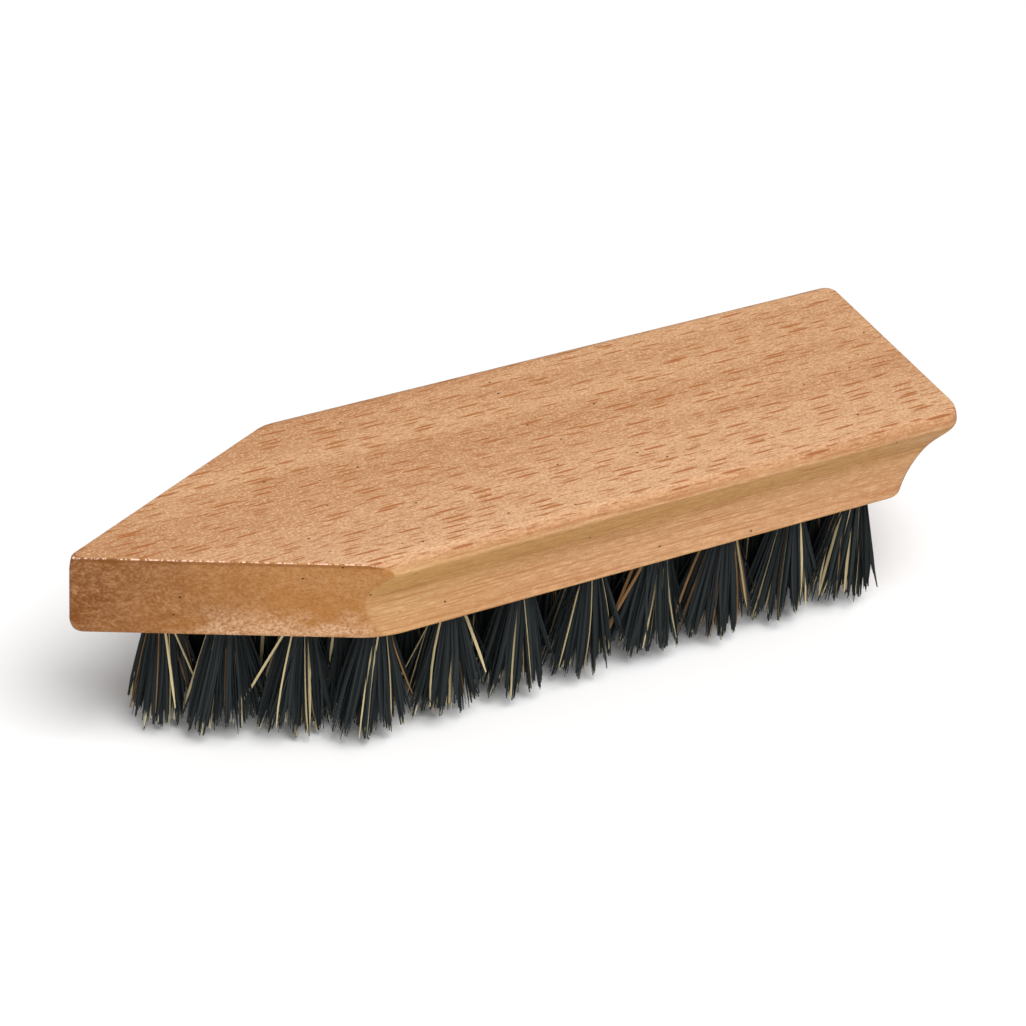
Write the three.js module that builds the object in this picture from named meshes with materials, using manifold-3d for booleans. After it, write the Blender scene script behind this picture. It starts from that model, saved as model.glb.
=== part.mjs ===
// A wooden hand brush: a beech block with a pointed nose, and tufts of plant fibre set in blind holes.
// Units are millimetres, +Z is up. The origin is under the middle of the block, on the plane of the
// bristle tips. The nose points along -X and the two long sides face -Y and +Y.
import * as THREE from "three";
import { mergeVertices } from "three/addons/utils/BufferGeometryUtils.js";
import Module from "manifold-3d";

// ---------- driving dimensions ----------

const BLOCK_LENGTH = 164;
const BLOCK_WIDTH = 47;
const BLOCK_THICKNESS = 15.8;
const NOSE_LENGTH = 49.4; // from the tip back to the shoulders
const NOSE_TIP_RADIUS = 0.7; // corner radii seen from above
const SHOULDER_RADIUS = 12;
const REAR_CORNER_RADIUS = 4;

// The long side, as distances inside its widest line at distances below the top face.
const LIP_RADIUS = 2.2;
const COVE = { inset: 2.05, drop: 8.2 };
const FOOT_INSET = 0.7;

// The rear end: an upright band, and below it a hollow undercut that bends towards a corner point.
const REAR_BAND = 4.6;
const REAR_UNDERCUT = 10.8;
const REAR_BEND = { setback: 6.2, drop: 8.4 };

const BRISTLE_LENGTH = 25; // from the underside of the block to the longest tips
const HOLE_RADIUS = 2.5;
const HOLE_DEPTH = 9;
const HOLE_CLEARANCE = 0.3; // left round each tuft inside its hole
const TIP_RADIUS = 4.35; // a tuft spreads to this at the tips
const FOLD_SHARE = 0.6; // the folded end of a tuft narrows to this share of its shank's radius
const ROUND_SIDES = 12; // sides of each hole and each tuft

// The tufts stand in five lines along the block, and follow the outline round the nose.
const TUFT_PITCH = 13.9;
const INNER_STAGGER = 2.8; // how far the inner lines are stepped towards the nose
const REAR_TUFT_SETBACK = 18; // the last tufts, ahead of the block's rear end
const OUTER_LINE = 17.6;
const INNER_LINE = 8.8;
const OUTER_COUNT = 8;
const INNER_COUNT = 8;
const CENTRE_COUNT = 9;
const NOSE_TUFTS = [
  { setback: 17.2, offset: 0 },
  { setback: 26.1, offset: 6.5 },
  { setback: 37.4, offset: 11.8 },
];

// ---------- derived dimensions ----------

const NOSE_X = -BLOCK_LENGTH / 2;
const REAR_X = BLOCK_LENGTH / 2;
const SHOULDER_X = NOSE_X + NOSE_LENGTH;
const HALF_WIDTH = BLOCK_WIDTH / 2;
const UNDERSIDE_Z = BRISTLE_LENGTH;
const TOP_Z = UNDERSIDE_Z + BLOCK_THICKNESS;
const SHANK_RADIUS = HOLE_RADIUS - HOLE_CLEARANCE;
const MARGIN = 5; // how far a cutting shape reaches past the block
const SECTION_STEPS = 6; // straight steps in each curve of the block's outlines
const WELD_DISTANCE = 1e-4; // points nearer than this are one point

const BEECH_COLOUR = 0xc9996b;
const FIBRE_COLOUR = 0x25292a;

// ---------- solid helpers ----------

const wasm = await Module();
wasm.setup();

// A closed geometry as a solid that can be cut and joined.
function toSolid(geometry) {
  const bare = geometry.clone();
  bare.deleteAttribute("normal");
  bare.deleteAttribute("uv");
  const merged = mergeVertices(bare, WELD_DISTANCE);
  return new wasm.Manifold(
    new wasm.Mesh({
      numProp: 3,
      vertProperties: merged.attributes.position.array,
      triVerts: new Uint32Array(merged.index.array),
    }),
  );
}

function toGeometry(solid) {
  const mesh = solid.getMesh();
  const geometry = new THREE.BufferGeometry();
  geometry.setAttribute("position", new THREE.BufferAttribute(new Float32Array(mesh.vertProperties), 3));
  geometry.setIndex(new THREE.BufferAttribute(new Uint32Array(mesh.triVerts), 1));
  geometry.computeVertexNormals();
  return geometry;
}

// A closed outline whose corners are rounded by arcs: each corner is { x, y, radius }.
function roundedOutline(corners) {
  const shape = new THREE.Shape();
  const count = corners.length;
  corners.forEach((corner, index) => {
    const at = new THREE.Vector2(corner.x, corner.y);
    const before = corners[(index + count - 1) % count];
    const after = corners[(index + 1) % count];
    const back = new THREE.Vector2(before.x, before.y).sub(at).normalize();
    const ahead = new THREE.Vector2(after.x, after.y).sub(at).normalize();
    const halfAngle = Math.acos(THREE.MathUtils.clamp(back.dot(ahead), -1, 1)) / 2;
    const reach = corner.radius / Math.tan(halfAngle);
    const start = at.clone().addScaledVector(back, reach);
    const end = at.clone().addScaledVector(ahead, reach);
    const centreWay = back.clone().add(ahead).normalize();
    const centre = at.clone().addScaledVector(centreWay, corner.radius / Math.sin(halfAngle));
    if (index === 0) shape.moveTo(start.x, start.y);
    else shape.lineTo(start.x, start.y);
    const from = Math.atan2(start.y - centre.y, start.x - centre.x);
    const to = Math.atan2(end.y - centre.y, end.x - centre.x);
    const turnsLeft = back.cross(ahead) < 0;
    shape.absarc(centre.x, centre.y, corner.radius, from, to, !turnsLeft);
  });
  shape.closePath();
  return shape;
}

// ---------- block ----------

// Seen from above: a pointed nose, two long sides and a square rear end with rounded corners.
// Rounding the nose shortens it, so its sharp corner is set ahead of the tip.
function planOutline() {
  const noseHalfAngle = Math.atan(HALF_WIDTH / NOSE_LENGTH);
  const sharpX = NOSE_X - NOSE_TIP_RADIUS * (1 / Math.sin(noseHalfAngle) - 1);
  return roundedOutline([
    { x: sharpX, y: 0, radius: NOSE_TIP_RADIUS },
    { x: SHOULDER_X, y: -HALF_WIDTH, radius: SHOULDER_RADIUS },
    { x: REAR_X, y: -HALF_WIDTH, radius: REAR_CORNER_RADIUS },
    { x: REAR_X, y: HALF_WIDTH, radius: REAR_CORNER_RADIUS },
    { x: SHOULDER_X, y: HALF_WIDTH, radius: SHOULDER_RADIUS },
  ]);
}

// The block's section across its length: a rounded lip at the top of each side, the finger cove
// below it, and a foot that comes part of the way out again.
function crossSection() {
  const coveY = HALF_WIDTH - COVE.inset;
  const coveZ = TOP_Z - COVE.drop;
  const footY = HALF_WIDTH - FOOT_INSET;
  const lipZ = TOP_Z - LIP_RADIUS;
  const lipPull = 0.23 * (lipZ - coveZ); // how far each curve runs straight on before it bends
  const covePull = 0.6 * (lipZ - coveZ);
  const footPull = 0.36 * (coveZ - UNDERSIDE_Z);
  const side = new THREE.Path();
  side.absarc(HALF_WIDTH - LIP_RADIUS, lipZ, LIP_RADIUS, Math.PI / 2, 0, true);
  side.bezierCurveTo(HALF_WIDTH, lipZ - lipPull, coveY, coveZ + covePull, coveY, coveZ);
  const betweenY = (coveY + footY) / 2;
  side.bezierCurveTo(coveY, coveZ - footPull, betweenY, UNDERSIDE_Z + footPull, footY, UNDERSIDE_Z);
  const right = side.getPoints(SECTION_STEPS);
  const left = right.map((point) => new THREE.Vector2(-point.x, point.y)).reverse();
  return new THREE.Shape([...right, ...left]);
}

// Seen from the side: the rear end is an upright band with a hollow undercut below it.
function sideOutline() {
  const shape = new THREE.Shape();
  shape.moveTo(NOSE_X - MARGIN, UNDERSIDE_Z);
  shape.lineTo(REAR_X - REAR_UNDERCUT, UNDERSIDE_Z);
  shape.quadraticCurveTo(REAR_X - REAR_BEND.setback, TOP_Z - REAR_BEND.drop, REAR_X, TOP_Z - REAR_BAND);
  shape.lineTo(REAR_X, TOP_Z);
  shape.lineTo(NOSE_X - MARGIN, TOP_Z);
  shape.closePath();
  return shape;
}

function holeSolid(place) {
  const mouthOverrun = 1;
  const height = HOLE_DEPTH + mouthOverrun;
  const drill = new THREE.CylinderGeometry(HOLE_RADIUS, HOLE_RADIUS, height, ROUND_SIDES);
  drill.rotateX(Math.PI / 2);
  drill.translate(place.x, place.y, UNDERSIDE_Z - mouthOverrun + height / 2);
  return toSolid(drill);
}

function makeBlock(places) {
  const across = new THREE.ExtrudeGeometry(crossSection(), {
    depth: BLOCK_LENGTH + 2 * MARGIN,
    bevelEnabled: false,
  });
  across.rotateX(Math.PI / 2);
  across.rotateZ(Math.PI / 2);
  across.translate(NOSE_X - MARGIN, 0, 0);
  const above = new THREE.ExtrudeGeometry(planOutline(), {
    depth: BLOCK_THICKNESS + 2 * MARGIN,
    bevelEnabled: false,
    curveSegments: SECTION_STEPS,
  });
  above.translate(0, 0, UNDERSIDE_Z - MARGIN);
  const beside = new THREE.ExtrudeGeometry(sideOutline(), {
    depth: BLOCK_WIDTH + 2 * MARGIN,
    bevelEnabled: false,
    curveSegments: SECTION_STEPS,
  });
  beside.rotateX(Math.PI / 2);
  beside.translate(0, HALF_WIDTH + MARGIN, 0);
  let block = toSolid(across).intersect(toSolid(above)).intersect(toSolid(beside));
  places.forEach((place) => {
    block = block.subtract(holeSolid(place));
  });
  return block;
}

// ---------- tufts ----------

// Where each tuft leaves the underside, with the name of its node.
function tuftPlaces() {
  const places = [];
  const lastX = REAR_X - REAR_TUFT_SETBACK;
  const addPair = (name, x, offset) => {
    places.push({ name: name + "_near", x, y: -offset });
    places.push({ name: name + "_far", x, y: offset });
  };
  for (let index = 0; index < OUTER_COUNT; index++)
    addPair("tuft_outer_" + (index + 1), lastX - index * TUFT_PITCH, OUTER_LINE);
  for (let index = 0; index < INNER_COUNT; index++)
    addPair("tuft_inner_" + (index + 1), lastX - INNER_STAGGER - index * TUFT_PITCH, INNER_LINE);
  for (let index = 0; index < CENTRE_COUNT; index++)
    places.push({ name: "tuft_centre_" + (index + 1), x: lastX - index * TUFT_PITCH, y: 0 });
  NOSE_TUFTS.forEach((tuft, index) => {
    const name = "tuft_nose_" + (index + 1);
    const x = NOSE_X + tuft.setback;
    if (tuft.offset > 0) addPair(name, x, tuft.offset);
    else places.push({ name, x, y: 0 });
  });
  return places;
}

// One tuft, folded end up in its hole, spreading from the hole's mouth down to the tips.
function tuftGeometry() {
  const foldZ = UNDERSIDE_Z + HOLE_DEPTH - HOLE_CLEARANCE;
  const foldRadius = SHANK_RADIUS * FOLD_SHARE;
  const shoulderZ = foldZ - foldRadius;
  const profile = [
    new THREE.Vector2(0, 0),
    new THREE.Vector2(TIP_RADIUS, 0),
    new THREE.Vector2(SHANK_RADIUS, UNDERSIDE_Z - HOLE_CLEARANCE),
    new THREE.Vector2(SHANK_RADIUS, shoulderZ),
    new THREE.Vector2(foldRadius, foldZ),
    new THREE.Vector2(0, foldZ),
  ];
  const geometry = new THREE.LatheGeometry(profile, ROUND_SIDES);
  geometry.rotateX(Math.PI / 2);
  return geometry;
}

// ---------- assembly ----------

const beech = new THREE.MeshStandardMaterial({ color: BEECH_COLOUR, roughness: 0.55, metalness: 0 });
const brush = new THREE.Group();
const places = tuftPlaces();

const block = new THREE.Mesh(toGeometry(makeBlock(places)), beech);
block.name = "block";
brush.add(block);

places.forEach((place) => {
  const fibre = new THREE.MeshStandardMaterial({ color: FIBRE_COLOUR, roughness: 0.7, metalness: 0 });
  const tuft = new THREE.Mesh(tuftGeometry(), fibre);
  tuft.name = place.name;
  tuft.position.set(place.x, place.y, 0);
  brush.add(tuft);
});

export default brush;
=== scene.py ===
import math
import random

import bmesh
import bpy
from mathutils import Matrix, Vector


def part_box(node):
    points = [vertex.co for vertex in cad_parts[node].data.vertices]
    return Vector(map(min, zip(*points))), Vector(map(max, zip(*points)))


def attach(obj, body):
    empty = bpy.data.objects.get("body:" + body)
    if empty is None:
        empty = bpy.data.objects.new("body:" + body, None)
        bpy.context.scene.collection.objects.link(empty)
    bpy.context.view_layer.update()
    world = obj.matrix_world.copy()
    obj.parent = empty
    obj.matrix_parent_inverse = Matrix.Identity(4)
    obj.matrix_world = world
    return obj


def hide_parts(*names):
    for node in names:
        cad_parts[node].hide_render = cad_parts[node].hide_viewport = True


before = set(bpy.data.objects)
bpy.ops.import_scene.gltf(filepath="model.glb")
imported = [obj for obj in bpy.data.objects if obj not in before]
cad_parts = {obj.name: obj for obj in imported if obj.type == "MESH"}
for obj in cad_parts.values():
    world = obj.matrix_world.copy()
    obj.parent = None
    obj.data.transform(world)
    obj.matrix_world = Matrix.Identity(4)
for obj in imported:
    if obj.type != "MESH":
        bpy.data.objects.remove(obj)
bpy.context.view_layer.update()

MM = 0.001

# ---------- sizes ----------

BLOCK_LOW, BLOCK_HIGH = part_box("block")
TOP_Z = BLOCK_HIGH.z
UNDERSIDE_Z = BLOCK_LOW.z
THICKNESS = TOP_Z - UNDERSIDE_Z
HALF_WIDTH = BLOCK_HIGH.y
REAR_X = BLOCK_HIGH.x
NOSE_X = BLOCK_LOW.x
NOSE_LENGTH = 49.4 * MM

NOSE_RADIUS = 0.6 * MM  # corner radii seen from above
NOSE_WEAR_TOP = 0.4 * MM  # added to the nose radius at its top corner
NOSE_WEAR_FOOT = 0.8 * MM  # and at its bottom corner, which strikes things first
NOSE_WEAR_REACH = 3 * MM
SHOULDER_RADIUS_TOP = 6 * MM
SHOULDER_RADIUS_FOOT = 20 * MM
REAR_RADIUS_NEAR = 3.6 * MM
REAR_RADIUS_FAR = 2 * MM

LIP_RADIUS = 2.4 * MM  # the rounded lip along the top of each long side
COVE_INSET = 2.05 * MM  # the finger cove below it, at its deepest
COVE_DROP = 8.2 * MM
COVE_ENTRY = 0.68  # below 1, the cove starts more steeply than it ends
FOOT_INSET = 0.5 * MM

REAR_BAND = 4.3 * MM  # upright band at the rear end, above the undercut
REAR_UNDERCUT = 10.1 * MM
REAR_BEND_SETBACK = 6.2 * MM
REAR_BEND_DROP = 8.4 * MM
REAR_BLEND = 0.9 * MM  # how softly the band turns into the undercut

FACET_ARRIS = 0.4 * MM  # edge radii left by the sanding
REAR_ARRIS = 0.5 * MM
FOOT_ARRIS = 0.6 * MM
FLAT_MARGIN = 0.5 * MM  # a border round the top and the underside that keeps their shading flat

HOLE_RADIUS = 2.5 * MM
HOLE_DEPTH = 9 * MM
HOLE_CHAMFER = 0.25 * MM
DRILL_POINT = 0.9 * MM
HOLE_SIDES = 20


# ---------- block ----------


def side_inset(drop):
    """How far a long side stands inside its widest line, this far below the top."""
    if drop < LIP_RADIUS:
        return LIP_RADIUS - math.sqrt(LIP_RADIUS**2 - (LIP_RADIUS - drop) ** 2)
    if drop < COVE_DROP:
        share = (drop - LIP_RADIUS) / (COVE_DROP - LIP_RADIUS)
        return COVE_INSET * math.sin(math.pi / 2 * share**COVE_ENTRY) ** 2
    share = (drop - COVE_DROP) / (THICKNESS - COVE_DROP)
    return COVE_INSET + (FOOT_INSET - COVE_INSET) * share**2


def undercut(drop):
    """How far the rear end stands ahead of the band above it.

    The curve is a quadratic Bezier, from the foot of the band through the bend to the underside. Its drop
    is REAR_BAND + slope * share + bend * share**2, which is solved for the share of the curve.
    """
    if drop <= REAR_BAND:
        return 0.0
    slope = 2 * (REAR_BEND_DROP - REAR_BAND)
    bend = REAR_BAND - 2 * REAR_BEND_DROP + THICKNESS
    share = (-slope + math.sqrt(slope**2 - 4 * bend * (REAR_BAND - drop))) / (2 * bend)
    return 2 * share * (1 - share) * REAR_BEND_SETBACK + share**2 * REAR_UNDERCUT


def rear_inset(drop):
    """The undercut with its upper corner blended."""
    steps = 6
    samples = [undercut(drop + REAR_BLEND * (2 * i / steps - 1)) for i in range(steps + 1)]
    return sum(samples) / len(samples)


def arris(distance, radius):
    """How far a rounded edge of this radius has drawn in, at a distance from the flat face."""
    if distance >= radius:
        return 0.0
    return radius - math.sqrt(radius**2 - (radius - distance) ** 2)


def rounded_corner(before, corner, after, radius, steps):
    """The points of the arc that rounds one corner of an outline."""
    back = (before - corner).normalized()
    ahead = (after - corner).normalized()
    half_angle = back.angle(ahead) / 2
    reach = radius / math.tan(half_angle)
    centre = corner + (back + ahead).normalized() * (radius / math.sin(half_angle))
    start = corner + back * reach - centre
    turn = math.pi - 2 * half_angle
    return [centre + Matrix.Rotation(turn * i / steps, 2) @ start for i in range(steps + 1)]


def corner_radii(drop):
    """The outline's corner radii at a distance below the top, from the nose round past the near side."""
    wear = NOSE_WEAR_TOP * max(0.0, 1 - drop / NOSE_WEAR_REACH) ** 2
    wear += NOSE_WEAR_FOOT * max(0.0, 1 - (THICKNESS - drop) / NOSE_WEAR_REACH) ** 2
    share = drop / THICKNESS
    shoulder = SHOULDER_RADIUS_TOP + (SHOULDER_RADIUS_FOOT - SHOULDER_RADIUS_TOP) * share**2
    return [NOSE_RADIUS + wear, shoulder, REAR_RADIUS_NEAR, REAR_RADIUS_FAR, shoulder]


def outline(drop, shrink=0.0):
    """The block's outline at a distance below the top, from the nose round past the near side.

    Every level has the same number of points, so that the levels can be joined by quads.
    """
    foot = arris(THICKNESS - drop, FOOT_ARRIS)
    facet = max(arris(drop, FACET_ARRIS), foot) + shrink
    side = side_inset(drop) + foot + shrink
    rear = rear_inset(drop) + max(arris(drop, REAR_ARRIS), foot) + shrink

    slope = math.atan(HALF_WIDTH / NOSE_LENGTH)
    sharp_nose = NOSE_X - NOSE_RADIUS * (1 / math.sin(slope) - 1)
    nose_x = sharp_nose + facet / math.sin(slope)
    shoulder_x = nose_x + (HALF_WIDTH - side) / math.tan(slope)
    corners = [
        Vector((nose_x, 0)),
        Vector((shoulder_x, side - HALF_WIDTH)),
        Vector((REAR_X - rear, side - HALF_WIDTH)),
        Vector((REAR_X - rear, HALF_WIDTH - side)),
        Vector((shoulder_x, HALF_WIDTH - side)),
    ]
    radii = corner_radii(drop)
    arc_steps = [8, 10, 10, 10, 10]
    straight_steps = [60, 90, 30, 90, 60]

    arcs = []
    for i, corner in enumerate(corners):
        after = corners[(i + 1) % len(corners)]
        arcs.append(rounded_corner(corners[i - 1], corner, after, radii[i], arc_steps[i]))
    points = []
    for i, arc in enumerate(arcs):
        points += arc
        start = arc[-1]
        end = arcs[(i + 1) % len(arcs)][0]
        steps = straight_steps[i]
        points += [start.lerp(end, j / steps) for j in range(1, steps)]
    return points


def level_drops():
    """Where the block's levels lie: close together round the lip and the bottom edge."""
    lip_steps = 12
    wall_steps = 34
    foot_steps = 6
    lip = [LIP_RADIUS * (1 - math.cos(math.pi / 2 * i / lip_steps)) for i in range(lip_steps)]
    wall_end = THICKNESS - FOOT_ARRIS
    wall = [LIP_RADIUS + (wall_end - LIP_RADIUS) * i / wall_steps for i in range(wall_steps)]
    foot = [wall_end + FOOT_ARRIS * math.sin(math.pi / 2 * i / foot_steps) for i in range(foot_steps + 1)]
    return lip + wall + foot


def ring(mesh, points, z):
    return [mesh.verts.new((p.x, p.y, z)) for p in points]


def join_rings(mesh, upper, lower):
    """Quads between two rings of the same number of points."""
    count = len(upper)
    for i in range(count):
        j = (i + 1) % count
        mesh.faces.new((upper[i], lower[i], lower[j], upper[j]))


def circle(centre, radius, sides):
    turns = [2 * math.pi * i / sides for i in range(sides)]
    return [Vector((centre.x + radius * math.cos(t), centre.y + radius * math.sin(t))) for t in turns]


def drill_hole(mesh, centre):
    """A blind hole with a chamfered mouth and a drill point. Returns the ring of its mouth."""
    mouth = ring(mesh, circle(centre, HOLE_RADIUS + HOLE_CHAMFER, HOLE_SIDES), UNDERSIDE_Z)
    neck = ring(mesh, circle(centre, HOLE_RADIUS, HOLE_SIDES), UNDERSIDE_Z + HOLE_CHAMFER)
    floor = ring(mesh, circle(centre, HOLE_RADIUS, HOLE_SIDES), UNDERSIDE_Z + HOLE_DEPTH)
    point = mesh.verts.new((centre.x, centre.y, UNDERSIDE_Z + HOLE_DEPTH + DRILL_POINT))
    join_rings(mesh, neck, mouth)
    join_rings(mesh, floor, neck)
    for i in range(HOLE_SIDES):
        mesh.faces.new((floor[i], floor[(i + 1) % HOLE_SIDES], point))
    return mouth


def ring_edges(mesh, verts):
    pairs = zip(verts, verts[1:] + verts[:1])
    return [mesh.edges.get(pair) or mesh.edges.new(pair) for pair in pairs]


def make_block(places):
    mesh = bmesh.new()
    rings = [ring(mesh, outline(0.0, FLAT_MARGIN), TOP_Z)]
    rings += [ring(mesh, outline(drop), TOP_Z - drop) for drop in level_drops()]
    rings.append(ring(mesh, outline(THICKNESS, FLAT_MARGIN), UNDERSIDE_Z))
    for upper, lower in zip(rings, rings[1:]):
        join_rings(mesh, upper, lower)
    mesh.faces.new(rings[0])
    edges = ring_edges(mesh, rings[-1])
    for place in places:
        edges += ring_edges(mesh, drill_hole(mesh, place))
    bmesh.ops.triangle_fill(mesh, edges=edges, use_beauty=True, normal=(0, 0, -1))
    bmesh.ops.recalc_face_normals(mesh, faces=mesh.faces[:])
    return finished("block_body", mesh)


def finished(name, mesh, sharp_angle=38):
    """A smooth-shaded object made from a bmesh, in the scene."""
    data = bpy.data.meshes.new(name)
    mesh.to_mesh(data)
    mesh.free()
    data.shade_smooth()
    data.set_sharp_from_angle(angle=math.radians(sharp_angle))
    piece = bpy.data.objects.new(name, data)
    bpy.context.scene.collection.objects.link(piece)
    return piece


# ---------- tufts ----------

TUFT_STRANDS = 165  # fibres in a tuft; each is folded in half, so it shows two ends
ROOT_RADIUS = 2.3 * MM
ROOT_CORE = 0.02  # share of the hole's area, in its middle, that holds no fibre
TUFT_NODES = sorted(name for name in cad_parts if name.startswith("tuft_"))
BRISTLE_NOSE_X = min(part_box(node)[0].x for node in TUFT_NODES)
BRISTLE_REAR_X = max(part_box(node)[1].x for node in TUFT_NODES)

# How far the fibre ends stand out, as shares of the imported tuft's radius.
SPREAD_ALONG = 1.5  # along the block, where neighbouring tufts run into each other
SPREAD_AT_ENDS = 1.2  # along the block, where no other tuft stands further out
SPREAD_ACROSS = 1.0  # across the block, where the next line of tufts is nearer
END_MARGIN = 5 * MM  # tufts this near either end of the bristles are the ones at that end
TIGHTEST = 0.85  # these are multiplied by this for the tightest fibre
SKIRT = 1.4  # and by this for the loosest
SKIRT_START = 0.9  # ends further out than this are higher,
SKIRT_RISE = 7 * MM  # by this much for each radius

LOCKS = 30  # ends of neighbouring fibres gather into this many pointed locks
GOLDEN_ANGLE = math.pi * (3 - math.sqrt(5))  # spaces the locks evenly over a disc
LOCK_TURN = 0.3  # radians by which a lock may stand off its even place
LOCK_RISE = 2.6 * MM  # how much shorter the shortest lock is than the longest
LOCK_LENGTHS = (1.1, 1.9)  # beta distribution of the locks' ends over that rise
LOCK_PULL = (0.4, 0.95)  # how much of the way to its lock a fibre is drawn
LOCK_TAPER = 1.1  # how much shorter a fibre is for each unit of distance from the point of its lock
TIP_SCATTER = 1.2 * MM  # single fibres end up to this much above their lock
TIP_LENGTHS = (1, 3)  # beta distribution of the single ends over that scatter
BOW = 0.4 * MM  # how far a fibre may bow out halfway

STRAY_SHARE = 0.05
LIGHT_STRAY_SHARE = 0.35  # the pale fibres are stiffer, and more of them cross their neighbours
STRAY_TURN = 1.1  # radians by which a stray may leave its own direction
STRAY_REACH = 1.4  # it stands out up to this much further
STRAY_RISE = 4 * MM  # and ends up to this much higher
STRAY_LENGTHS = (1, 1.6)  # beta distribution of the strays' ends over that rise
REAR_WEAR = 0.8 * MM  # how much more the fibres are worn down at the rear than at the nose

STAPLE_Z = UNDERSIDE_Z + 5.6 * MM
STAPLE_HEIGHT = 1.5 * MM
STAPLE_THICKNESS = 0.35 * MM
STAPLE_LENGTH = 4.7 * MM
STAPLE_SIDES = 12
LEG_GAP = 0.3 * MM  # from the wire's middle plane to the middle of the nearest leg of a fibre
FOLD_GAP = 0.3 * MM  # from the top of the wire up to the middle of a fibre folded over it
FOLD_SLACK = 0.4  # a fibre folds higher by this share of its distance from the wire
SHOULDER_SHARE = 0.8  # beside the fold, a fibre stands off by this share of that distance,
SHOULDER_DEPTH = 0.6 * MM  # this far below the fold

# Kinds of fibre: share of a tuft's strands, range of width, material slot.
FIBRE_KINDS = [
    {"share": 0.92, "width": (0.36 * MM, 0.62 * MM), "slot": 0},
    {"share": 0.05, "width": (0.3 * MM, 0.7 * MM), "slot": 1},
    {"share": 0.03, "width": (0.3 * MM, 0.55 * MM), "slot": 2},
]
FIBRE_FLATNESS = 0.55  # thickness over width
FIBRE_TAPER = (0.4, 0.95, 1.0)  # share of the full width at the end, one step in, and from there on
FIBRE_LEAN = 0.05  # keeps a fibre's width from being undefined where it runs level over the wire
LEG_STEPS = 5


def pick_kind(rng):
    draw = rng.random()
    for kind in FIBRE_KINDS:
        draw -= kind["share"]
        if draw < 0:
            return kind
    return FIBRE_KINDS[0]


def stand_out(flat, reach):
    """A place under a tuft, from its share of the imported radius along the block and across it."""
    along = reach["rear"] if flat.x > 0 else reach["nose"]
    return Vector((flat.x * along, flat.y * reach["aside"]))


def make_locks(rng, reach, worn):
    """Where groups of fibre ends gather: a place under the tuft and a height above the tips' plane."""
    locks = []
    for i in range(LOCKS):
        radius = SKIRT * math.sqrt((i + 0.5) / LOCKS)
        angle = i * GOLDEN_ANGLE + rng.uniform(-LOCK_TURN, LOCK_TURN)
        height = worn + rng.betavariate(*LOCK_LENGTHS) * LOCK_RISE
        height += SKIRT_RISE * max(0.0, radius - SKIRT_START)
        flat = stand_out(radius * Vector((math.cos(angle), math.sin(angle))), reach)
        locks.append(Vector((flat.x, flat.y, height)))
    return locks


def leg_points(rng, root, locks, reach, stray):
    """One half of a strand, from its end up to the mouth of its hole.

    It spreads evenly away from the hole, bows a little, and near its end is drawn towards a lock.
    """
    flat_root = root.xy / ROOT_RADIUS
    loose = rng.uniform(TIGHTEST, SKIRT)
    natural = stand_out(flat_root, reach) * loose
    lock = min(locks, key=lambda one: (one.xy - natural).length)
    aside = lock.xy - natural
    pull = aside * rng.uniform(*LOCK_PULL)
    tip_z = lock.z + rng.betavariate(*TIP_LENGTHS) * TIP_SCATTER + LOCK_TAPER * aside.length
    if stray:
        turned = Matrix.Rotation(rng.uniform(-STRAY_TURN, STRAY_TURN), 2) @ flat_root
        natural = stand_out(turned, reach) * loose * rng.uniform(1.0, STRAY_REACH)
        pull = Vector((0, 0))
        tip_z += rng.betavariate(*STRAY_LENGTHS) * STRAY_RISE
    turn = rng.uniform(0, 2 * math.pi)
    bow = Vector((math.cos(turn), math.sin(turn))) * rng.uniform(0, BOW)
    points = []
    for i in range(LEG_STEPS):
        share = 1 - i / LEG_STEPS
        flat = root.xy.lerp(natural, share) + pull * share**3 + bow * math.sin(math.pi * share)
        points.append(Vector((flat.x, flat.y, root.z + (tip_z - root.z) * share)))
    return points + [root]


def strand_points(rng, centre, locks, reach, stray):
    """A fibre folded in half over the staple: up one leg, over the wire, and down the other."""
    radius = math.sqrt(rng.uniform(ROOT_CORE, 1.0)) * ROOT_RADIUS
    angle = rng.uniform(0, math.pi)
    along = radius * math.cos(angle)
    aside = max(radius * math.sin(angle), LEG_GAP)
    roots = [Vector((along, sign * aside, UNDERSIDE_Z)) for sign in (-1, 1)]
    legs = [leg_points(rng, root, locks, reach, stray) for root in roots]
    fold_z = STAPLE_Z + STAPLE_HEIGHT / 2 + FOLD_GAP + FOLD_SLACK * aside
    fold = Vector((along, 0, fold_z))
    beside = aside * SHOULDER_SHARE
    shoulders = [Vector((along, sign * beside, fold_z - SHOULDER_DEPTH)) for sign in (-1, 1)]
    points = legs[0] + [shoulders[0], fold, shoulders[1]] + legs[1][::-1]
    return [centre + p for p in points]


def add_strand(mesh, points, width, slot, twist):
    """A flat fibre along the points, with a diamond section that narrows a little at both ends."""
    count = len(points)
    rings = []
    for i, at in enumerate(points):
        way = (points[min(i + 1, count - 1)] - points[max(i - 1, 0)]).normalized()
        across = way.cross(Vector((math.cos(twist), math.sin(twist), FIBRE_LEAN))).normalized()
        through = way.cross(across)
        from_end = min(i, count - 1 - i)
        half = width / 2 * FIBRE_TAPER[min(from_end, len(FIBRE_TAPER) - 1)]
        wide = across * half
        thick = through * half * FIBRE_FLATNESS
        rings.append([mesh.verts.new(at + corner) for corner in (wide, thick, -wide, -thick)])
    for upper, lower in zip(rings, rings[1:]):
        for i in range(4):
            j = (i + 1) % 4
            mesh.faces.new((upper[i], upper[j], lower[j], lower[i])).material_index = slot
    mesh.faces.new(rings[0][::-1]).material_index = slot
    mesh.faces.new(rings[-1]).material_index = slot


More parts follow.
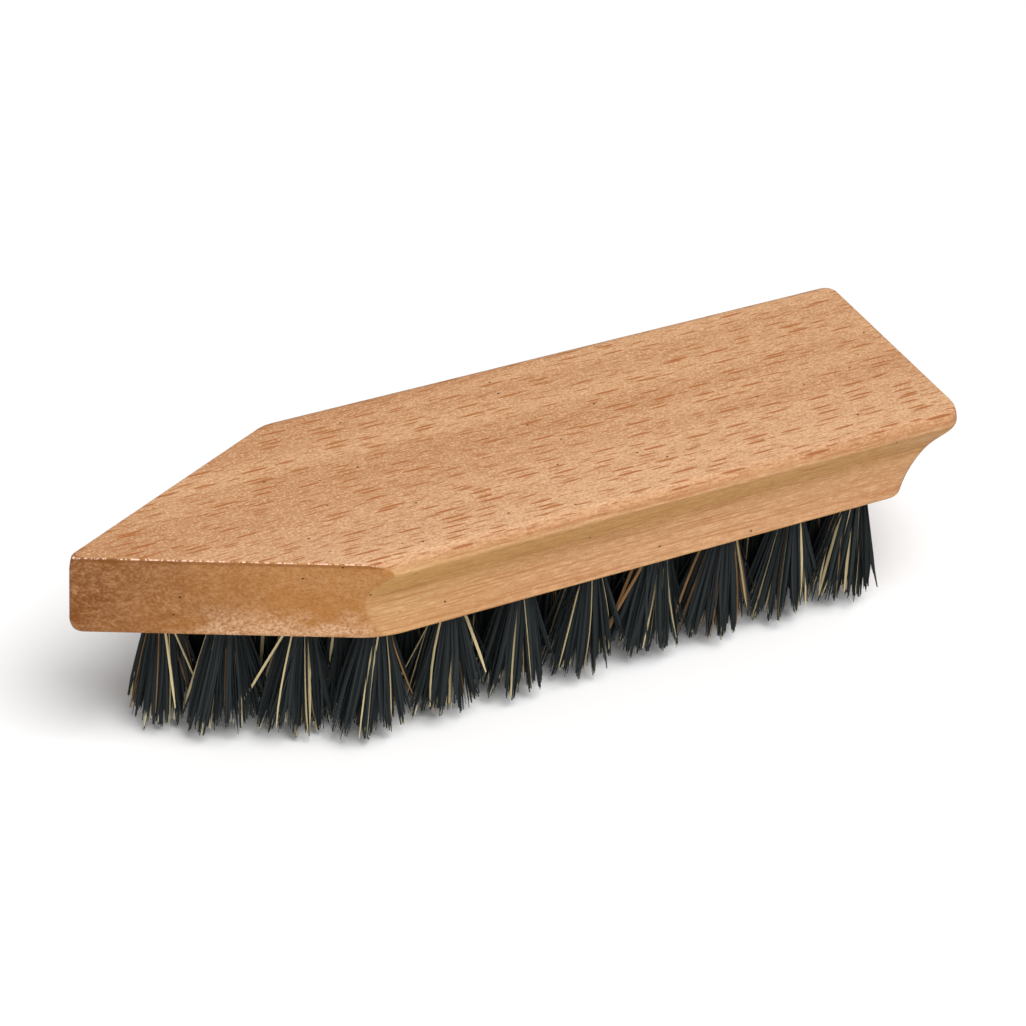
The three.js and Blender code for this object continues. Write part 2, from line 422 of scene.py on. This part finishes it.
def make_tuft(node, materials):
    """A tuft of separate fibres, in the place of this node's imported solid."""
    low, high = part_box(node)
    centre = Vector(((low.x + high.x) / 2, (low.y + high.y) / 2, 0))
    radius = (high.x - low.x) / 2
    reach = {
        "nose": radius * (SPREAD_AT_ENDS if low.x < BRISTLE_NOSE_X + END_MARGIN else SPREAD_ALONG),
        "rear": radius * (SPREAD_AT_ENDS if high.x > BRISTLE_REAR_X - END_MARGIN else SPREAD_ALONG),
        "aside": radius * SPREAD_ACROSS,
    }
    rng = random.Random(node)
    worn = REAR_WEAR * (centre.x - NOSE_X) / (REAR_X - NOSE_X)
    locks = make_locks(rng, reach, worn)
    mesh = bmesh.new()
    for _ in range(TUFT_STRANDS):
        kind = pick_kind(rng)
        stray = rng.random() < (LIGHT_STRAY_SHARE if kind["slot"] else STRAY_SHARE)
        points = strand_points(rng, centre, locks, reach, stray)
        add_strand(mesh, points, rng.uniform(*kind["width"]), kind["slot"], rng.uniform(0, math.pi))
    piece = finished(node + "_fibres", mesh, sharp_angle=60)
    for material in materials:
        piece.data.materials.append(material)
    return piece


# ---------- materials ----------


def srgb(red, green, blue):
    """A colour given as it looks on screen, 0 to 255."""
    def linear(value):
        value /= 255
        return value / 12.92 if value <= 0.04045 else ((value + 0.055) / 1.055) ** 2.4
    return (linear(red), linear(green), linear(blue), 1.0)


BEECH_LIGHT = srgb(205, 157, 114)  # faces along the grain
BEECH_PINK = srgb(186, 134, 92)
BEECH_DEEP = srgb(164, 110, 66)
BEECH_PALE = srgb(236, 192, 152)
BEECH_YOUNG = srgb(236, 194, 126)
BEECH_FLECK = srgb(168, 98, 45)
END_DARK = srgb(118, 66, 20)  # the slanted cuts across the grain
END_WARM = srgb(166, 111, 56)
END_LIGHT = srgb(188, 139, 92)
END_PALE = srgb(214, 174, 139)
# painted highlight on the top edges of the nose cuts
EDGE_HIGHLIGHT = srgb(252, 214, 190)
PORE = srgb(52, 28, 16)
SIDE_PAINTED_SHADE = srgb(246, 247, 246)  # painted shade: these tints darken what is under them
# painted shade: darkens and warms the lips, which catch more of the lamps
LIP_PAINTED_SHADE = srgb(229, 218, 202)
# painted shade: darkens and yellows the coves where they look down, like shade with light bounced off the
# wood
COVE_PAINTED_SHADE = srgb(229, 222, 170)
FRAYED_TIP = srgb(184, 178, 154)

# Places along the block and above the floor where the wood changes, in millimetres.
NOSE = NOSE_X / MM
FOOT = UNDERSIDE_Z / MM
TOP = TOP_Z / MM

# Ray flecks: size of the cell that holds one, and half the size of a full one, in millimetres.
LARGE_FLECKS = {"cell": (8.6, 1.45), "half_size": (2.6, 0.24)}
SMALL_FLECKS = {"cell": (5.3, 1.0), "half_size": (1.55, 0.165)}
SMALL_FLECK_SHIFT = (4.3, 2.1, 0)
DRY_PATCH_SHIFT = (21.6, 0, 0)  # picks where on the nose cuts the pale patches lie
RELIEF = 0.03 * MM  # depth of the grain and of the streaks in the fibres

SURFACE_INPUTS = {
    "base_color": "Base Color",
    "roughness": "Roughness",
    "metallic": "Metallic",
    "specular": "Specular IOR Level",
    "normal": "Normal",
}


class Shader:
    """A node material, built one node at a time. Places and sizes in it are in millimetres."""

    def __init__(self, name):
        self.material = bpy.data.materials.new(name)
        self.material.use_nodes = True
        self.tree = self.material.node_tree
        self.surface = self.tree.nodes["Principled BSDF"]

    def feed(self, socket, value):
        if isinstance(value, bpy.types.NodeSocket):
            self.tree.links.new(value, socket)
        else:
            socket.default_value = value

    def finish(self, **inputs):
        """The material, with these values on the inputs that SURFACE_INPUTS names."""
        for name, value in inputs.items():
            self.feed(self.surface.inputs[SURFACE_INPUTS[name]], value)
        return self.material

    def node(self, kind, inputs=(), **settings):
        made = self.tree.nodes.new("ShaderNode" + kind)
        for name, value in settings.items():
            setattr(made, name, value)
        for name, value in dict(inputs).items():
            self.feed(made.inputs[name], value)
        return made

    def math(self, operation, a, b=0.0, clamp=False):
        made = self.node("Math", {0: a, 1: b}, operation=operation, use_clamp=clamp)
        return made.outputs[0]

    def times(self, a, b):
        return self.math("MULTIPLY", a, b)

    def minus(self, a, b):
        return self.math("SUBTRACT", a, b)

    def scaled(self, value, factor, base):
        made = self.node("Math", {0: value, 1: factor, 2: base}, operation="MULTIPLY_ADD")
        return made.outputs[0]

    def smooth(self, value, low, high):
        """0 below low and 1 above high, with a smooth step between; low may be the larger of the two."""
        inputs = {"Value": value, "From Min": low, "From Max": high}
        return self.node("MapRange", inputs, interpolation_type="SMOOTHSTEP").outputs["Result"]

    def place(self):
        """The place on the object."""
        metres = self.node("TexCoord").outputs["Object"]
        return self.node("VectorMath", {0: metres, "Scale": 1 / MM}, operation="SCALE").outputs[0]

    def facing(self):
        """Which way the surface faces, as X, Y and Z."""
        return self.axes(self.node("NewGeometry").outputs["Normal"])

    def axes(self, vector):
        return self.node("SeparateXYZ", {0: vector}).outputs

    def stretched(self, place, size):
        """A place in units of this size along the three axes."""
        units = tuple(1 / length for length in size)
        return self.node("VectorMath", {0: place, 1: units}, operation="MULTIPLY").outputs[0]

    def shifted(self, place, offset):
        return self.node("VectorMath", {0: place, 1: offset}, operation="ADD").outputs[0]

    def noise(self, place, size, detail=2.0, roughness=0.5):
        """Soft random marks of about this size along the three axes."""
        at = self.stretched(place, size)
        inputs = {"Vector": at, "Scale": 1.0, "Detail": detail, "Roughness": roughness}
        return self.node("TexNoise", inputs).outputs["Fac"]

    def random_of(self, cells):
        """One random number for each cell of a Voronoi texture."""
        return self.node("SeparateColor", {0: cells.outputs["Color"]}).outputs[0]

    def mix(self, factor, a, b, blend="MIX"):
        made = self.node("Mix", data_type="RGBA", blend_type=blend)
        self.feed(made.inputs[0], factor)
        self.feed(made.inputs[6], a)
        self.feed(made.inputs[7], b)
        return made.outputs[2]

    def over(self, colour, other, mask, strength):
        """Another colour laid over this one where the mask is high, with this strength."""
        return self.mix(self.times(mask, strength), colour, other)

    def bump(self, height):
        return self.node("Bump", {"Height": height, "Distance": RELIEF}).outputs["Normal"]


def beech_material():
    """Beech, cut along the grain on top, underneath and on the long sides, and across it at the ends."""
    shader = Shader("beech")
    place = shader.place()
    facing = shader.facing()
    nose_cut = shader.smooth(facing["X"], -0.13, -0.23)
    end_grain = shader.math("MAXIMUM", nose_cut, shader.smooth(facing["X"], 0.35, 0.9))
    flat_grain = shader.smooth(shader.math("ABSOLUTE", facing["Z"]), 0.3, 0.75)
    speckle = shader.noise(place, size=(0.52, 0.42, 0.42), roughness=0.6)
    grit = shader.times(shader.minus(speckle, 0.5), shader.scaled(flat_grain, 0.5, 0.5))
    pores = scattered_pores(shader, place)

    colour, relief = long_grain(shader, place, flat_grain, grit)
    colour = shader.mix(end_grain, colour, end_grain_colour(shader, place))
    # painted shade on the lips and on the downward-facing coves
    colour = lip_and_cove_painted_shade(shader, colour, place, facing, end_grain)
    # painted highlight on the top edges of the nose cuts, with a darker band below
    colour = edge_highlight_and_dark_band(shader, colour, place, facing, end_grain)
    colour = shader.over(colour, PORE, pores, strength=0.9)
    relief = shader.minus(relief, shader.times(pores, 2.0))
    relief = shader.math("ADD", relief, shader.times(speckle, shader.scaled(end_grain, 1.2, 0.5)))
    return shader.finish(
        base_color=colour,
        roughness=shader.scaled(speckle, 0.2, 0.42),
        specular=shader.scaled(end_grain, -0.2, 0.35),
        normal=shader.bump(relief),
    )


def scattered_pores(shader, place):
    """Small open pores, at most one in each cell, and none in many cells."""
    at = shader.stretched(place, (3.6, 2.8, 2.8))
    cells = shader.node("TexVoronoi", {"Vector": at, "Scale": 1.0})
    present = shader.smooth(shader.random_of(cells), 0.3, 0.6)
    return shader.times(shader.smooth(cells.outputs["Distance"], 0.085, 0.05), present)


def flecks(shader, place, cell, half_size):
    """Short lens-shaped marks along the grain, seen on the top: one in each cell of the given size."""
    at = shader.stretched(place, (*cell, 1))
    cells = shader.node("TexVoronoi", {"Vector": at, "Scale": 1.0}, voronoi_dimensions="2D")
    offset = shader.node("VectorMath", {0: at, 1: cells.outputs["Position"]}, operation="SUBTRACT")
    shape = (cell[0] / half_size[0], cell[1] / half_size[1], 0)
    scaled = shader.node("VectorMath", {0: offset.outputs[0], 1: shape}, operation="MULTIPLY")
    distance = shader.node("VectorMath", {0: scaled.outputs[0]}, operation="LENGTH").outputs["Value"]
    size = shader.scaled(shader.random_of(cells), 0.9, 0.35)
    return shader.smooth(shader.minus(size, distance), 0.0, 0.35)


def wandering_grain(shader, place):
    """The place, shifted sideways a little as the grain runs along the block."""
    wander = shader.noise(place, size=(70, 14, 14), detail=1)
    drift = shader.node("CombineXYZ", {1: shader.times(wander, 3.0)}).outputs[0]
    return shader.shifted(place, drift)


def long_grain(shader, place, flat_grain, grit):
    """Colour and relief of the faces along the grain: flecks on the top, longer streaks on the sides."""
    grain = wandering_grain(shader, place)
    at = shader.axes(grain)
    upright = shader.minus(1.0, flat_grain)
    bands = shader.noise(grain, size=(110, 7, 7), detail=3)
    fibre = shader.noise(grain, size=(2.2, 0.26, 0.26))
    streaks = shader.noise(grain, size=(20, 1.2, 0.36), detail=3)

    colour = shader.mix(shader.smooth(bands, 0.36, 0.64), BEECH_LIGHT, BEECH_PINK)
    # painted light: the top and the underside are lighter towards the near long side
    near_side_painted_light = shader.times(shader.smooth(at["Y"], 6, -20), flat_grain)
    colour = shader.over(colour, BEECH_PALE, near_side_painted_light, strength=0.35)
    colour = shader.over(colour, BEECH_DEEP, shader.smooth(at["X"], NOSE + 26, NOSE + 4), strength=0.34)
    colour = shader.over(colour, BEECH_DEEP, shader.smooth(fibre, 0.48, 0.66), strength=0.35)
    colour = shader.over(colour, BEECH_PALE, shader.smooth(fibre, 0.48, 0.32), strength=0.35)
    colour = shader.over(colour, BEECH_PALE, shader.smooth(grit, 0.0, 0.2), strength=0.55)
    colour = shader.over(colour, BEECH_DEEP, shader.smooth(grit, 0.0, -0.2), strength=0.5)
    young = shader.times(upright, shader.smooth(at["X"], NOSE + 95, NOSE + 45))
    colour = shader.over(colour, BEECH_YOUNG, young, strength=0.22)

    large = flecks(shader, grain, **LARGE_FLECKS)
    small = flecks(shader, shader.shifted(grain, SMALL_FLECK_SHIFT), **SMALL_FLECKS)
    marks = shader.times(shader.math("MAXIMUM", large, shader.times(small, 0.6)), flat_grain)
    streaks = shader.times(shader.smooth(streaks, 0.48, 0.7), upright)
    lines = shader.math("ADD", marks, shader.times(streaks, 0.6), clamp=True)
    colour = shader.over(colour, BEECH_FLECK, lines, strength=0.9)
    # painted shade: the upright faces are darkened a little
    colour = shader.mix(upright, colour, SIDE_PAINTED_SHADE, "MULTIPLY")
    return colour, shader.minus(fibre, lines)


def end_grain_colour(shader, place):
    """The slanted cuts across the grain: darker and warmer, gritty, with dry pale patches low down."""
    at = shader.axes(place)
    tone = shader.noise(place, size=(9, 9, 7))
    reach = shader.math("ADD", at["X"], shader.times(tone, 24.0))
    colour = shader.mix(shader.smooth(reach, NOSE + 50, NOSE + 8), END_WARM, END_DARK)
    mottle = shader.noise(place, size=(1.6, 1.6, 1.2), detail=4, roughness=0.7)
    colour = shader.over(colour, END_LIGHT, shader.smooth(mottle, 0.45, 0.66), strength=0.4)
    pith = shader.noise(place, size=(0.6, 0.6, 0.48), detail=3, roughness=0.75)
    colour = shader.over(colour, END_LIGHT, shader.smooth(pith, 0.5, 0.72), strength=0.36)
    colour = shader.over(colour, END_DARK, shader.smooth(pith, 0.5, 0.28), strength=0.5)

    low_down = shader.smooth(at["Z"], FOOT + 7.5, FOOT + 1.5)
    past_nose = shader.smooth(at["X"], NOSE + 13, NOSE + 24)
    short_of_shoulder = shader.smooth(at["X"], NOSE + 50, NOSE + 42)
    dry = shader.times(low_down, shader.times(past_nose, short_of_shoulder))
    patches = shader.noise(shader.shifted(place, DRY_PATCH_SHIFT), size=(9, 9, 5), detail=4, roughness=0.6)
    pale = shader.times(shader.smooth(patches, 0.36, 0.56), shader.scaled(dry, 0.85, 0.12))
    pale = shader.times(pale, shader.scaled(shader.smooth(pith, 0.38, 0.66), 0.8, 0.18))
    return shader.mix(pale, colour, END_PALE)


def lip_and_cove_painted_shade(shader, colour, place, facing, end_grain):
    """Painted shade: darkens and warms the lips, in patches, where they catch more light, and darkens and
    yellows the coves where they look down.
    """
    aside = shader.smooth(shader.math("ABSOLUTE", facing["Y"]), 0.2, 0.6)
    aside = shader.times(aside, shader.minus(1.0, end_grain))
    patchiness = shader.noise(place, size=(1.4, 0.5, 0.5), detail=3, roughness=0.6)
    lip = shader.times(shader.smooth(facing["Z"], 0.1, 0.6), shader.scaled(patchiness, 1.2, 0.4))
    colour = shader.mix(shader.times(lip, aside), colour, LIP_PAINTED_SHADE, "MULTIPLY")
    cove = shader.times(aside, shader.smooth(facing["Z"], 0.35, -0.35))
    return shader.mix(cove, colour, COVE_PAINTED_SHADE, "MULTIPLY")


def edge_highlight_and_dark_band(shader, colour, place, facing, end_grain):
    """The top edges of the nose cuts: a painted highlight in a beaded line, with a darker band just below.
    """
    height = shader.axes(place)["Z"]
    below = shader.times(end_grain, shader.smooth(facing["Z"], 0.45, 0.25))
    below = shader.times(below, shader.smooth(height, TOP - 1.1, TOP - 0.6))
    colour = shader.over(colour, END_DARK, below, strength=0.5)

    # painted highlight along the rounded top edge of the nose cuts, broken into beads
    edge_highlight = shader.times(shader.smooth(facing["Z"], 0.35, 0.6), shader.smooth(facing["Z"], 0.98, 0.85))
    beads = shader.noise(place, size=(0.5, 0.5, 3), detail=1)
    edge_highlight = shader.times(edge_highlight, shader.smooth(beads, 0.4, 0.6))
    edge_highlight = shader.times(edge_highlight, shader.smooth(facing["X"], -0.14, -0.3))
    return shader.over(colour, EDGE_HIGHLIGHT, edge_highlight, strength=0.9)


def fibre_material(name, dark, light, roughness, streak_length):
    """Plant fibre: a tone for each fibre, streaks along it, and worn pale tips on some."""
    shader = Shader(name)
    place = shader.place()
    each = shader.node("NewGeometry").outputs["Random Per Island"]
    streak = shader.noise(place, size=(0.25, 0.25, streak_length))
    tone = shader.times(shader.math("ADD", each, streak), 0.5)
    colour = shader.mix(tone, dark, light)
    uneven_height = shader.scaled(streak, 9.0, shader.axes(place)["Z"])
    brittle = shader.smooth(each, 0.74, 0.8)
    frayed = shader.times(brittle, shader.smooth(uneven_height, 9.6, 7.6))
    return shader.finish(
        base_color=shader.mix(frayed, colour, FRAYED_TIP),
        roughness=shader.scaled(streak, 0.2, roughness),
        specular=0.05,
        normal=shader.bump(streak),
    )


def fibre_materials():
    """In the order of the slots of FIBRE_KINDS."""
    return [
        fibre_material("fibre_dark", srgb(41, 46, 47), srgb(46, 50, 51), 0.7, streak_length=5),
        fibre_material("fibre_straw", srgb(172, 154, 112), srgb(222, 206, 162), 0.5, streak_length=6),
        fibre_material("fibre_russet", srgb(84, 62, 44), srgb(160, 122, 80), 0.5, streak_length=6),
    ]


def wire_material():
    shader = Shader("staple_wire")
    drawn = shader.noise(shader.place(), size=(2.0, 0.05, 0.05))
    return shader.finish(
        base_color=shader.mix(drawn, srgb(150, 150, 152), srgb(196, 196, 198)),
        roughness=shader.scaled(drawn, 0.2, 0.28),
        metallic=1.0,
    )


# ---------- staples ----------

# Along the wire: the place as a share of its half length, and the size of the section there.
STAPLE_SECTIONS = [(-1.0, 0.6), (-0.94, 1.0), (0.94, 1.0), (1.0, 0.6)]


def squared(value):
    """Turns the cosines and sines of a circle into those of a square with rounded corners."""
    return math.copysign(math.sqrt(abs(value)), value)


def add_staple(mesh, centre):
    """A short flat wire across the hole, which the fibres are folded over."""
    rings = []
    for along, size in STAPLE_SECTIONS:
        x = centre.x + along * STAPLE_LENGTH / 2
        points = []
        for i in range(STAPLE_SIDES):
            turn = 2 * math.pi * i / STAPLE_SIDES
            y = squared(math.cos(turn)) * STAPLE_THICKNESS / 2 * size
            z = squared(math.sin(turn)) * STAPLE_HEIGHT / 2 * size
            points.append(mesh.verts.new((x, centre.y + y, STAPLE_Z + z)))
        rings.append(points)
    for upper, lower in zip(rings, rings[1:]):
        join_rings(mesh, upper, lower)
    mesh.faces.new(rings[0])
    mesh.faces.new(rings[-1][::-1])


def make_staples(places):
    mesh = bmesh.new()
    for place in places:
        add_staple(mesh, place)
    bmesh.ops.recalc_face_normals(mesh, faces=mesh.faces[:])
    return finished("staples", mesh)


# ---------- camera, floor and light ----------

CAMERA_AZIMUTH = math.radians(-31.18)  # 0 looks along +Y
CAMERA_ELEVATION = math.radians(36.16)
CAMERA_ROLL = math.radians(4.84)
CAMERA_DISTANCE = 663.5 * MM
CAMERA_LENS = 130.8
CAMERA_SENSOR = 36  # like the lens, in millimetres
CAMERA_AIM = Vector((3.2 * MM, 0.3 * MM, UNDERSIDE_Z))
FLOOR_HALF_SIZE = 4.0  # metres
WORLD_STRENGTH = 0.34
WHITE = (1.0, 1.0, 1.0, 1.0)


def direction(azimuth, elevation):
    """From the block towards a camera or a lamp at this azimuth and elevation, in radians."""
    flat = math.cos(elevation)
    return Vector((math.sin(azimuth) * flat, -math.cos(azimuth) * flat, math.sin(elevation)))


def make_camera():
    back = direction(CAMERA_AZIMUTH, CAMERA_ELEVATION)
    right = Vector((math.cos(CAMERA_AZIMUTH), math.sin(CAMERA_AZIMUTH), 0))
    up = back.cross(right)
    rolled_right = math.cos(CAMERA_ROLL) * right + math.sin(CAMERA_ROLL) * up
    rolled_up = back.cross(rolled_right)
    data = bpy.data.cameras.new("camera")
    data.lens = CAMERA_LENS
    data.sensor_width = CAMERA_SENSOR
    data.clip_start = 10 * MM
    camera = bpy.data.objects.new("camera", data)
    axes = Matrix((rolled_right, rolled_up, back)).transposed()
    camera.matrix_world = Matrix.Translation(CAMERA_AIM + back * CAMERA_DISTANCE) @ axes.to_4x4()
    bpy.context.scene.collection.objects.link(camera)
    bpy.context.scene.camera = camera


def make_floor():
    mesh = bmesh.new()
    bmesh.ops.create_grid(mesh, x_segments=1, y_segments=1, size=FLOOR_HALF_SIZE)
    floor = finished("floor", mesh)
    pale = Shader("floor").finish(base_color=srgb(250, 250, 250), roughness=0.9, specular=0.1)
    floor.data.materials.append(pale)


def add_lamp(name, azimuth, elevation, distance, size, power):
    """A round lamp that looks at the block from this azimuth and elevation, in degrees."""
    data = bpy.data.lights.new(name, "AREA")
    data.shape = "DISK"
    data.size = size
    data.energy = power
    lamp = bpy.data.objects.new(name, data)
    towards = direction(math.radians(azimuth), math.radians(elevation))
    lamp.location = Vector((0, 0, UNDERSIDE_Z)) + towards * distance
    lamp.rotation_euler = towards.to_track_quat("Z", "Y").to_euler()
    bpy.context.scene.collection.objects.link(lamp)


def make_light():
    world = bpy.data.worlds.new("studio")
    world.use_nodes = True
    background = world.node_tree.nodes["Background"]
    background.inputs["Color"].default_value = WHITE
    background.inputs["Strength"].default_value = WORLD_STRENGTH
    bpy.context.scene.world = world
    add_lamp("key", azimuth=8, elevation=67, distance=2.2, size=1.6, power=46)
    add_lamp("front", azimuth=-28, elevation=9, distance=2.2, size=1.2, power=12)
    bpy.context.scene.view_settings.view_transform = "Standard"


# ---------- assembly ----------


def main():
    make_camera()
    make_floor()
    make_light()
    places = []
    for node in TUFT_NODES:
        low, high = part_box(node)
        places.append((low + high) / 2)

    block = make_block(places)
    block.data.materials.append(beech_material())
    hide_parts("block")
    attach(block, "root")

    fibres = fibre_materials()
    for node in TUFT_NODES:
        tuft = make_tuft(node, fibres)
        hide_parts(node)
        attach(tuft, "root")

    staples = make_staples(places)
    staples.data.materials.append(wire_material())
    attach(staples, "root")


main()
